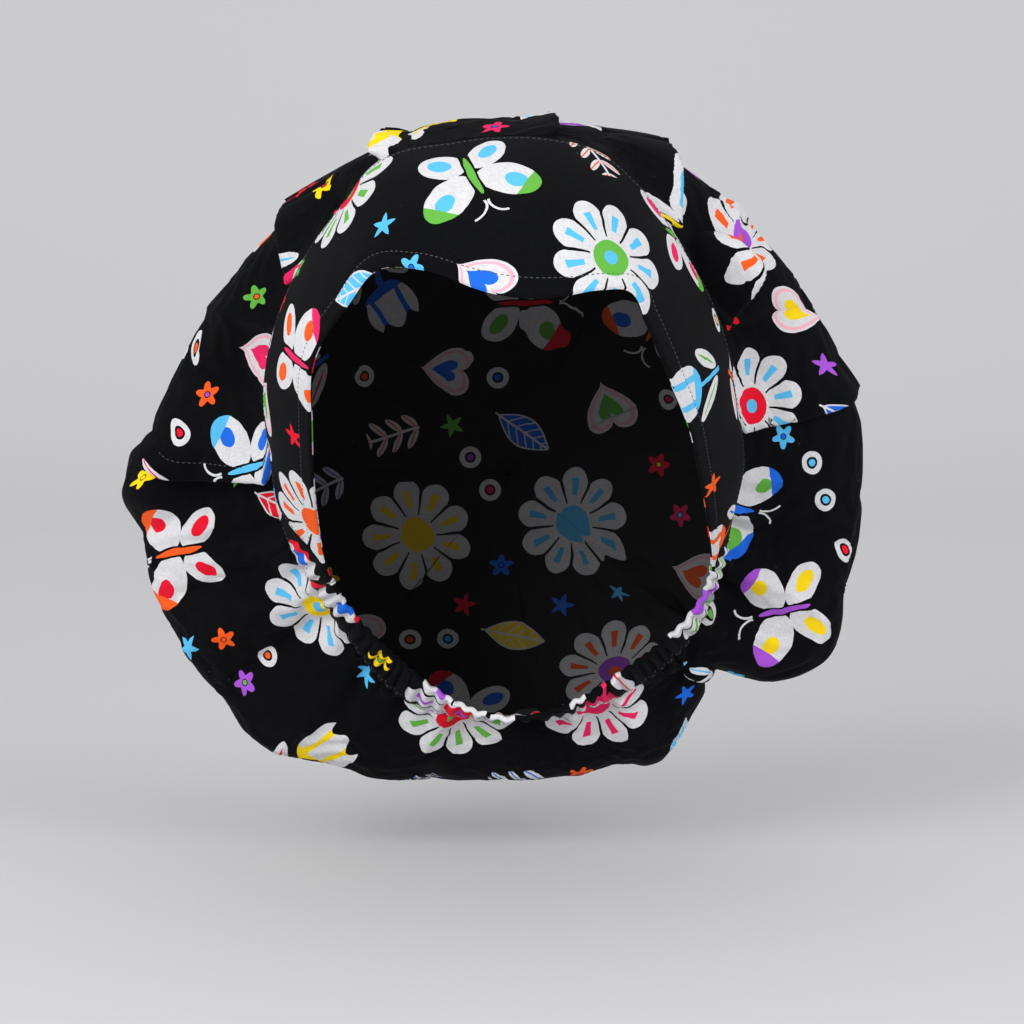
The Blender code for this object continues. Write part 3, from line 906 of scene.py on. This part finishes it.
def draw_butterfly(n, x, y, radius, angle):
    """White wings with tinted spots and tips, and a slim body."""
    side = n.size(x)
    upper = n.oval(side, y, (0.46, 0.31), (0.47, 0.33), 0.62)
    lower = n.oval(side, y, (0.34, -0.40), (0.40, 0.26), -0.85)
    body = n.oval(x, y, (0.0, 0.02), (0.055, 0.46))
    white = n.both(n.any(upper, lower), n.above(side, 0.085))
    spot = n.oval(side, y, (0.55, 0.38), (0.17, 0.14), 0.62)
    tip = n.both(upper, n.above(n.math("ADD", side, y), 1.12))
    low = n.oval(side, y, (0.38, -0.45), (0.20, 0.12), -0.85)
    feeler = n.near(n.ellipse(side, y, (0.26, 0.66), (0.26, 0.26)), 0.85, 0.13)
    feeler = n.both(feeler, n.below(side, 0.27), n.above(y, 0.60))
    return n.any(white, body, feeler), n.any(spot, low), n.any(tip, body)


def draw_tulip(n, x, y, radius, angle):
    """White cup with a zigzag top and tinted stripes, on a stem with two leaves."""
    side = n.size(x)
    zigzag = n.scaled(n.math("COSINE", n.times(x, 15.0)), 0.10, 0.56)
    cup = n.both(n.oval(x, y, (0.0, 0.26), (0.46, 0.52)), n.below(y, zigzag))
    stripe = n.both(cup, n.any(n.near(side, 0.2, 0.055), n.below(y, -0.06)))
    leaf = n.oval(side, y, (0.31, -0.52), (0.40, 0.12), 0.95)
    vein = n.oval(side, y, (0.31, -0.52), (0.30, 0.02), 0.95)
    stem = n.both(n.below(side, 0.035), n.near(y, -0.6, 0.36))
    return n.any(cup, leaf), n.any(stripe, stem), vein


def draw_heart(n, x, y, radius, angle):
    """White heart with a blush outline and a tinted middle."""
    root = n.math("SQRT", n.size(x))
    lift = n.scaled(root, -0.75, n.scaled(y, 1.2, 0.12))
    level = n.scaled(lift, lift, n.times(x, x))
    return n.below(level, 0.70), n.below(level, 0.16), n.near(level, 0.50, 0.075)


def draw_leaf(n, x, y, radius, angle):
    """Tinted pointed leaf with a pale rim, midrib and slanting side veins."""
    side = n.size(x)
    bulge = n.times(n.math("MAXIMUM", n.math("COSINE", n.times(y, 1.55)), 0.0), 0.50)
    tall = n.below(n.size(y), 0.97)
    rim = n.both(n.below(side, bulge), tall)
    blade = n.both(n.below(side, n.math("SUBTRACT", bulge, 0.055)), tall)
    vein = n.math("FRACT", n.scaled(y, 3.1, n.scaled(side, -2.8, 9.0)))
    vein = n.any(n.below(vein, 0.17), n.below(side, 0.035))
    stalk = n.both(n.below(side, 0.03), n.below(y, -0.80), n.below(radius, 1.1))
    return n.any(rim, stalk), n.both(blade, n.math("SUBTRACT", 1.0, vein)), 0.0


def draw_sprig(n, x, y, radius, angle):
    """Stem with pairs of slanting leaves."""
    side = n.size(x)
    tall = n.below(n.size(y), 0.86)
    step = n.math("FRACT", n.scaled(y, 1.9, n.scaled(side, -1.3, 5.0)))
    leaf = n.both(n.oval(side, step, (0.30, 0.5), (0.27, 0.27)), tall)
    stem = n.both(n.below(side, 0.045), tall)
    return n.any(leaf, stem), n.both(leaf, n.near(step, 0.5, 0.05)), 0.0


def draw_floret(n, x, y, radius, angle):
    """Five round petals of one ink round a small gap."""
    edge = n.scaled(n.math("COSINE", n.times(angle, 5.0)), 0.22, 0.70)
    petals = n.both(n.below(radius, edge), n.above(radius, 0.24))
    return 0.0, petals, n.below(radius, 0.17)


def draw_star(n, x, y, radius, angle):
    """Five-pointed star of one ink."""
    turn = n.math("FRACT", n.scaled(angle, 5.0 / (2.0 * math.pi), 5.0))
    point = n.times(n.size(n.math("SUBTRACT", turn, 0.5)), 2.0)
    edge = n.scaled(n.math("POWER", point, 1.6), 0.58, 0.38)
    return 0.0, n.below(radius, edge), 0.0


def draw_ring(n, x, y, radius, angle):
    """Small white ring with a tinted dot."""
    return n.near(radius, 0.62, 0.20), n.below(radius, 0.26), 0.0


DRAWINGS = (draw_daisy, draw_butterfly, draw_tulip, draw_heart, draw_leaf, draw_sprig,
            draw_floret, draw_star, draw_ring)


def new_material(name, roughness):
    """Material with a Principled shader, and that shader."""
    material = bpy.data.materials.new(name)
    material.use_nodes = True
    shader = material.node_tree.nodes["Principled BSDF"]
    shader.inputs["Roughness"].default_value = roughness
    return material, shader


def shade(colour, factor=1.0):
    """Colour made darker or lighter by a factor, with full cover."""
    return (*[level * factor for level in colour], 1.0)


def draw_print(n, place, threads):
    """Masks of the print's white, tint and second ink, and a mask of the hearts.

    The edges of the drawings waver a little, as ink does that soaks into the threads."""
    waver = 0.08
    shaken = n.split(n.texture("ShaderNodeTexNoise", threads, 75.0, 2.0)[1])
    parts = n.split(place)
    x, y = [n.scaled(shaken[axis], waver, n.math("SUBTRACT", parts[axis], waver / 2))
            for axis in range(2)]
    radius = n.math("SQRT", n.scaled(x, x, n.times(y, y)))
    angle = n.math("ARCTAN2", y, x)
    kind = n.attribute("kind")
    chosen = [n.math("COMPARE", kind, float(number + 1), 0.3) for number in range(len(DRAWINGS))]
    drawn = [draw(n, x, y, radius, angle) for draw in DRAWINGS]
    layers = [n.any(*[n.both(mask, one) for mask, one in zip(layer, chosen)])
              for layer in zip(*drawn)]
    return layers, chosen[DRAWINGS.index(draw_heart)]


def printed_cloth(name, look, wrong_side):
    """Matte plain weave with the tossed print and painted shade in the weave's hollows; the wrong
    side shows the print faded.
    """
    material, shader = new_material(name, look.roughness)
    n = Nodes(material)
    place, threads = [n.add("ShaderNodeUVMap", uv_map=layer).outputs[0]
                      for layer in ("motif", "cloth")]
    (white, tint, second), hearts = draw_print(n, place, threads)
    run = n.split(threads)
    slubs = n.math("ADD", n.slubs(run, 1900.0, 260.0), n.slubs(run, 260.0, 1900.0))
    warp, weft = [n.math("SINE", n.times(run[axis], 2.0 * math.pi / look.weave_pitch))
                  for axis in range(2)]
    weave = n.times(warp, weft)
    # Uneven tone of the slubs, plus painted shade of the weave: the colour follows the bump's
    # height, darker in the hollows between threads and lighter where they stand up. Both the black
    # ground and the white ink run between a darker and a lighter level by it.
    slub_tone_and_weave_shade = n.scaled(slubs, 1.6, n.scaled(weave, 0.30, -1.1))
    ground = n.mix(slub_tone_and_weave_shade, shade(look.ground), shade(look.ground, 3.2))
    white_ink = n.mix(slub_tone_and_weave_shade, shade(look.white, 0.78), shade(look.white))
    colour = n.mix(white, ground, white_ink)
    colour = n.mix(tint, colour, n.ink(n.attribute("tint")))
    other = n.mix(hearts, n.ink(n.attribute("second")), shade(look.blush))
    colour = n.mix(second, colour, other)
    lint = n.texture("ShaderNodeTexVoronoi", threads, 85.0, 0.0)["Distance"]
    colour = n.mix(n.times(n.below(lint, 0.024), 0.35), colour, (0.35, 0.35, 0.36, 1.0))
    if wrong_side:
        colour = n.mix(0.66, colour, (0.016, 0.016, 0.018, 1.0))
    n.feed(shader.inputs["Base Color"], colour)
    shader.inputs["Specular IOR Level"].default_value = look.specular
    shader.inputs["Sheen Weight"].default_value = look.sheen
    shader.inputs["Sheen Roughness"].default_value = look.sheen_roughness
    bump = n.add("ShaderNodeBump")
    bump.inputs["Strength"].default_value = 0.55
    bump.inputs["Distance"].default_value = look.bump_distance
    n.feed(bump.inputs["Height"], n.scaled(slubs, 1.2, weave))
    n.feed(shader.inputs["Normal"], bump.outputs[0])
    return material


def sewing_thread(look):
    """Twisted sewing thread."""
    material, shader = new_material("sewing_thread", 0.6)
    n = Nodes(material)
    where = n.add("ShaderNodeTexCoord").outputs["Object"]
    fibres = n.texture("ShaderNodeTexNoise", where, 3000.0, 2.0)[0]
    n.feed(shader.inputs["Base Color"], n.mix(fibres, shade(look.thread), shade(look.thread, 1.8)))
    return material


def along_path(where, run, values):
    """Values read at lengths along a path."""
    return np.stack([np.interp(where, run, values[:, axis]) for axis in range(3)], axis=-1)


def add_stitches(name, path, normals, look):
    """Row of stitches along a path: each is a squashed six-sided bead whose middle
    stands proud of the cloth and whose ends dip into it."""
    material = bpy.data.materials.get("sewing_thread") or sewing_thread(look)
    steps = np.linalg.norm(np.diff(path, axis=0), axis=1)
    run = np.concatenate(((0.0,), np.cumsum(steps)))
    count = int(run[-1] / (STITCH_LENGTH + STITCH_GAP))
    centre = (np.arange(count) + 0.5) * run[-1] / count
    share = np.linspace(-0.5, 0.5, STITCH_ALONG)
    where = centre[:, None] + share[None, :] * STITCH_LENGTH
    spine = along_path(where, run, path)
    up = along_path(where, run, normals)
    side = unit(np.cross(unit(np.gradient(spine, axis=1)), up))
    swell = np.sqrt(np.maximum(1.0 - (2 * share) ** 2, 0.06))
    rise = STITCH_RISE * (1.0 - (2 * share) ** 2) - STITCH_DIP
    turn = np.linspace(0, 2 * math.pi, STITCH_AROUND, endpoint=False)[None, None, :, None]
    ring = (side[:, :, None, :] * np.cos(turn) * STITCH_HALF_WIDTH
            + up[:, :, None, :] * np.sin(turn) * STITCH_HALF_HEIGHT)
    points = spine[:, :, None, :] + up[:, :, None, :] * rise[None, :, None, None]
    points = points + ring * swell[None, :, None, None]
    base = np.arange(count)[:, None, None] * STITCH_ALONG * STITCH_AROUND
    here = base + np.arange(STITCH_ALONG - 1)[None, :, None] * STITCH_AROUND
    spot = np.arange(STITCH_AROUND)
    after = (spot + 1) % STITCH_AROUND
    quads = np.stack((here + spot, here + after, here + STITCH_AROUND + after,
                      here + STITCH_AROUND + spot), axis=-1)
    tops = base[:, 0] + spot[::-1]
    bottoms = base[:, 0] + spot + (STITCH_ALONG - 1) * STITCH_AROUND
    mesh = bpy.data.meshes.new(name)
    faces = quads.reshape(-1, 4).tolist() + tops.tolist() + bottoms.tolist()
    mesh.from_pydata(points.reshape(-1, 3), [], faces)
    mesh.materials.append(material)
    mesh.shade_smooth()
    row = add_object(name, mesh)
    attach(row, "root")
    return row


class CAP_OT_crown_pouch(Operator):
    """Build the full pouch with its folds, gathers and soft wrinkles"""

    bl_idname = "cap.crown_pouch"
    bl_label = "Crown pouch"

    def execute(self, context):
        sizes, look = context.scene.cap_sizes, context.scene.cap_look
        angles = crowded_angles(POUCH_COLUMNS)
        front = FRONT_SHARE * np.linspace(0.0, 1.0, FRONT_ROWS + 1) ** 1.25
        back = 1.0 - (1.0 - FRONT_SHARE) * (1.0 - np.linspace(0.0, 0.999, BACK_ROWS + 1)[1:])
        way = np.concatenate((front, back))
        grid, ways = np.meshgrid(angles, way, indexing="ij")
        middle = folded_pouch(sizes, grid, ways)
        rest = unfolded_pouch(sizes, grid, ways)
        flat = middle.reshape(-1, 3)
        held = (ways < FREE_FROM) | (ways > FREE_TO)
        hold = np.where(held, 1.0, SETTLE_HOLD).ravel()
        faces = shell_faces(POUCH_COLUMNS, len(way), True).tolist()
        settled = settle_cloth(flat, faces, hold)
        middle = wrinkles_only(middle, settled.reshape(middle.shape))
        normals = grid_normals(middle, True)
        half = wall_room(middle, normals, sizes.pouch_wall / 2)
        outer = middle + normals * half
        inner = middle - normals * half
        shell = Shell(outer, inner, rest, disc_lengths(rest, grid), True, True)
        rest_normals = grid_normals(rest, True).reshape(-1, 3)
        motifs = toss_motifs(rest.reshape(-1, 3), rest_normals, look.print_seed)
        pouch = cloth_object("pouch_cloth", shell, motifs, None, cloth_materials(look))
        stitched_from, stitched_to, below_fold = 0.12, 0.33, 0.45
        lines = np.arange(np.searchsorted(way, stitched_from), np.searchsorted(way, stitched_to))
        fold = OVERHANG_FOLDS[0]
        wanted = fold_angle(fold, way[lines]) + below_fold * fold[2]
        path, ups = [curve_on_grid(values, angles, lines, wanted) for values in (outer, normals)]
        row = add_stitches("fold_stitching", path, ups, look)
        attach(pouch, "root")
        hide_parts("crown_pouch")
        return {"FINISHED"}


def curve_on_grid(values, angles, lines, wanted):
    """Values along a curve over a grid: on each line, read between the two columns whose
    angles lie on either side of the wanted one."""
    column = np.clip(np.searchsorted(angles, wanted) - 1, 0, len(angles) - 2)
    part = ((wanted - angles[column]) / (angles[column + 1] - angles[column]))[:, None]
    return values[column, lines] * (1.0 - part) + values[column + 1, lines] * part


def disc_lengths(rest, angles):
    """Weave coordinates of cloth cut as one disc, in metres: each point lies as far from
    the middle as its run from the pole, in the direction of its angle."""
    steps = np.linalg.norm(np.diff(rest, axis=1, append=rest[:, -1:]), axis=-1)
    run = np.cumsum(steps[:, ::-1], axis=1)[:, ::-1]
    turn = np.radians(angles)
    return np.stack((run * np.sin(turn), run * np.cos(turn)), axis=-1)


def cloth_lengths(rest):
    """Lengths along and across a cloth's grid, in metres, as its weave coordinates."""
    along = np.linalg.norm(np.diff(rest, axis=0, prepend=rest[:1]), axis=-1)
    across = np.linalg.norm(np.diff(rest, axis=1, prepend=rest[:, :1]), axis=-1)
    return np.stack((np.cumsum(along, axis=0), np.cumsum(across, axis=1)), axis=-1)


def unfolded_pouch(sizes, angles, way):
    """Pouch as if its folds were opened out: the turns that each ring goes back and forth
    are counted up and spread evenly round a ring larger by the ratio of the turns.

    Each fold dies away over nearly half of the way, so that the print hardly leans."""
    moved = angles.copy()
    for row in OVERHANG_FOLDS:
        fade = smooth_step((row[7] + 0.25 - way) / 0.45)
        moved += fade * fold_swing(row, angles, way)
    turned = np.abs(np.diff(moved, axis=0, append=moved[:1] + 360.0))
    total = turned.sum(axis=0)
    run = np.cumsum(turned, axis=0) - turned
    ratio = total / 360.0
    ring = pouch_base(sizes, angles[:1] + run / ratio, way)
    middle = np.array((0.0, 0.0, -(sizes.crown_reach - sizes.pouch_wall / 2)))
    stretch = np.stack((ratio, np.ones_like(ratio), ratio), axis=-1)
    return middle + (ring - middle) * stretch


def cloth_materials(look):
    """Printed cloth for the right side and the wrong side, made once."""
    names = ("printed_cotton", "printed_cotton_wrong_side")
    found = [bpy.data.materials.get(name) for name in names]
    if all(found):
        return found
    return [printed_cloth(names[0], look, False), printed_cloth(names[1], look, True)]


def doubled_cloth(name, middle, normals, half, rest, seeds, look):
    """Doubled cloth over an open grid, with a print on either side, and its outer points."""
    outer = middle + normals * half
    shell = Shell(outer, middle - normals * half, rest, cloth_lengths(rest), False, False)
    spots, ways = rest.reshape(-1, 3), normals.reshape(-1, 3)
    motifs, lining = [toss_motifs(spots, ways, look.print_seed + seed) for seed in seeds]
    return cloth_object(name, shell, motifs, lining, cloth_materials(look)[:1]), outer


class CAP_OT_front_band(Operator):
    """Build the doubled band with its rounded front fold"""

    bl_idname = "cap.front_band"
    bl_label = "Front band"

    def execute(self, context):
        sizes, look = context.scene.cap_sizes, context.scene.cap_look
        angles = np.linspace(sizes.band_left_tip, sizes.band_right_tip, BAND_COLUMNS)
        share, gap = rim_split(sizes, angles)
        part = np.linspace(0.0, 1.0, BAND_ROWS) ** 1.35
        across = (share - gap / 2)[:, None] * part
        grid = np.repeat(angles[:, None], len(part), axis=1)
        middle = rim_surface(sizes, grid, across)
        width = rim_width(sizes, angles)
        normals = grid_normals(middle, False)
        waves = wave_noise(middle, 8, WAVE_LENGTH) * WAVE_HEIGHT
        middle = middle + normals * waves[..., None]
        edge = across * width[:, None]
        turned = 1.0 - np.minimum(edge / EDGE_ROUNDING, 1.0)
        fold = np.sqrt(np.maximum(1.0 - turned ** 2, 0.0))
        hem = HEM_RISE * (1.0 - smooth_step((edge - HEM_WIDTH) / HEM_FADE))
        groove = GROOVE_DEPTH * bell(edge, GROOVE_PLACE, GROOVE_WIDTH)
        half = (sizes.band_wall / 2 * fold + hem * fold - groove)[..., None]
        band, outer = doubled_cloth("band_cloth", middle, normals, half, middle, (1, 5), look)
        shown = np.nonzero(width * share > STITCHED_WIDTH)[0]
        front = np.clip(GROOVE_PLACE / width / (share - gap / 2), 0.0, 1.0)
        rear = np.clip(1.0 - REAR_STITCHES / ((share - gap / 2) * width), 0.0, 1.0)
        for name, spot in (("front_stitching", front), ("seam_stitching", rear)):
            row = np.interp(spot[shown], part, np.arange(len(part)))
            low = np.clip(row.astype(int), 0, len(part) - 2)
            share_up = (row - low)[:, None]
            path = outer[shown, low] * (1 - share_up) + outer[shown, low + 1] * share_up
            add_stitches(name, path, normals[shown, low], look)
        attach(band, "root")
        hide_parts("front_band")
        return {"FINISHED"}


class CAP_OT_nape_casing(Operator):
    """Build the ruffled elastic casing at the nape"""

    bl_idname = "cap.nape_casing"
    bl_label = "Nape casing"

    def execute(self, context):
        sizes, look = context.scene.cap_sizes, context.scene.cap_look
        angles = np.linspace(sizes.casing_right_start, 360.0 + sizes.casing_left_start,
                             CASING_COLUMNS)
        turned = (angles + 180.0) % 360.0 - 180.0
        share, gap = rim_split(sizes, turned)
        first = (share + gap / 2)[:, None]
        part = np.linspace(0.0, 1.0, CASING_ROWS)[None, :]
        across = first + (1.0 - first) * part
        grid = np.repeat(angles[:, None], CASING_ROWS, axis=1)
        rest = rim_surface(sizes, grid, across)
        phase = gather_angle(turned)[:, None] * RUFFLES + RUFFLES
        room = smooth_step(1.0 - 1.4 * first) * (0.35 + 0.65 * np.sin(math.pi * part) ** 0.6)
        ruffle = (np.sin(phase) + 0.35 * np.sin(phase * 0.5 + 3.0 * part)) * RUFFLE_HEIGHT * room
        level = outward_normals(rim_surface, sizes, grid, across)
        middle = rest + level * ruffle[..., None]
        normals = (level + grid_normals(middle, False)) / 2
        casing, outer = doubled_cloth("casing_cloth", middle, normals, sizes.casing_wall / 2,
                                      rest, (3, 6), look)
        shown = np.nonzero(first[:, 0] < 0.7)[0]
        row = add_stitches("casing_stitching", outer[shown, CASING_STITCHES],
                           normals[shown, CASING_STITCHES], look)
        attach(casing, "root")
        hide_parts("nape_casing")
        return {"FINISHED"}


class CAP_OT_stage(Operator):
    """Build the pale floor, the soft lights and the camera"""

    bl_idname = "cap.stage"
    bl_label = "Stage"

    def execute(self, context):
        scene, settings = context.scene, context.scene.cap_stage
        add_backdrop(settings)
        for light in LIGHTS:
            add_area_light(*light)
        world = bpy.data.worlds.new("studio")
        world.use_nodes = True
        background = world.node_tree.nodes["Background"]
        background.inputs["Color"].default_value = shade(settings.paper)
        background.inputs["Strength"].default_value = settings.world_strength
        scene.world = world
        camera = add_object("camera", bpy.data.cameras.new("camera"))
        camera.data.sensor_width = 36.0
        camera.data.lens = settings.lens
        camera.location = (settings.camera_side, -settings.camera_distance,
                           settings.camera_height)
        camera.rotation_euler = (math.pi / 2 - settings.camera_tilt, 0.0, 0.0)
        scene.camera = camera
        scene.view_settings.view_transform = "Standard"
        return {"FINISHED"}


def add_area_light(name, place, size, power, target):
    """Square soft light aimed at a target."""
    light = add_object(name, bpy.data.lights.new(name, "AREA"))
    light.data.energy = power
    light.data.size = size
    light.location = place
    aim = Vector(target) - Vector(place)
    light.rotation_euler = aim.to_track_quat("-Z", "Y").to_euler()


def add_backdrop(settings):
    """Floor that curves up into a wall: a level run, a quarter circle and an upright."""
    half_width, front, back, rise, bend = 7.0, -7.0, 2.6, 3.4, 1.2
    turn = np.linspace(0.0, math.pi / 2, 24)
    depth = np.concatenate(((front,), back - bend + bend * np.sin(turn), (back,)))
    height = np.concatenate(((0.0,), bend - bend * np.cos(turn), (rise,)))
    side = np.array((-half_width, half_width))
    points = np.stack(np.broadcast_arrays(side[:, None], depth[None, :],
                                          height[None, :] - settings.floor_drop), axis=-1)
    mesh = bpy.data.meshes.new("backdrop")
    mesh.from_pydata(points.reshape(-1, 3), [], shell_faces(2, len(depth), False).tolist())
    mesh.shade_smooth()
    paper, shader = new_material("backdrop_paper", 0.9)
    shader.inputs["Base Color"].default_value = shade(settings.paper)
    mesh.materials.append(paper)
    add_object("backdrop", mesh)


class CAP_PT_panel(Panel):
    """Panel that lists the cap's pieces and their settings"""

    bl_idname = "CAP_PT_panel"
    bl_label = "Scrub cap"
    bl_space_type = "VIEW_3D"
    bl_region_type = "UI"
    bl_category = "Scrub cap"

    def draw(self, context):
        for operator in OPERATORS:
            self.layout.operator(operator.bl_idname)
        for group in (context.scene.cap_sizes, context.scene.cap_look,
                      context.scene.cap_stage):
            for name in group.__annotations__:
                self.layout.prop(group, name)


GROUPS = (CapSizes, ClothLook, StageSettings)
OPERATORS = (CAP_OT_crown_pouch, CAP_OT_front_band, CAP_OT_nape_casing, CAP_OT_stage)


def register():
    for item in GROUPS + OPERATORS + (CAP_PT_panel,):
        bpy.utils.register_class(item)
    bpy.types.Scene.cap_sizes = PointerProperty(type=CapSizes)
    bpy.types.Scene.cap_look = PointerProperty(type=ClothLook)
    bpy.types.Scene.cap_stage = PointerProperty(type=StageSettings)


def unregister():
    del bpy.types.Scene.cap_stage
    del bpy.types.Scene.cap_look
    del bpy.types.Scene.cap_sizes
    for item in reversed(GROUPS + OPERATORS + (CAP_PT_panel,)):
        bpy.utils.unregister_class(item)


def main():
    register()
    bpy.ops.cap.crown_pouch()
    bpy.ops.cap.front_band()
    bpy.ops.cap.nape_casing()
    bpy.ops.cap.stage()


if __name__ == "__main__":
    main()
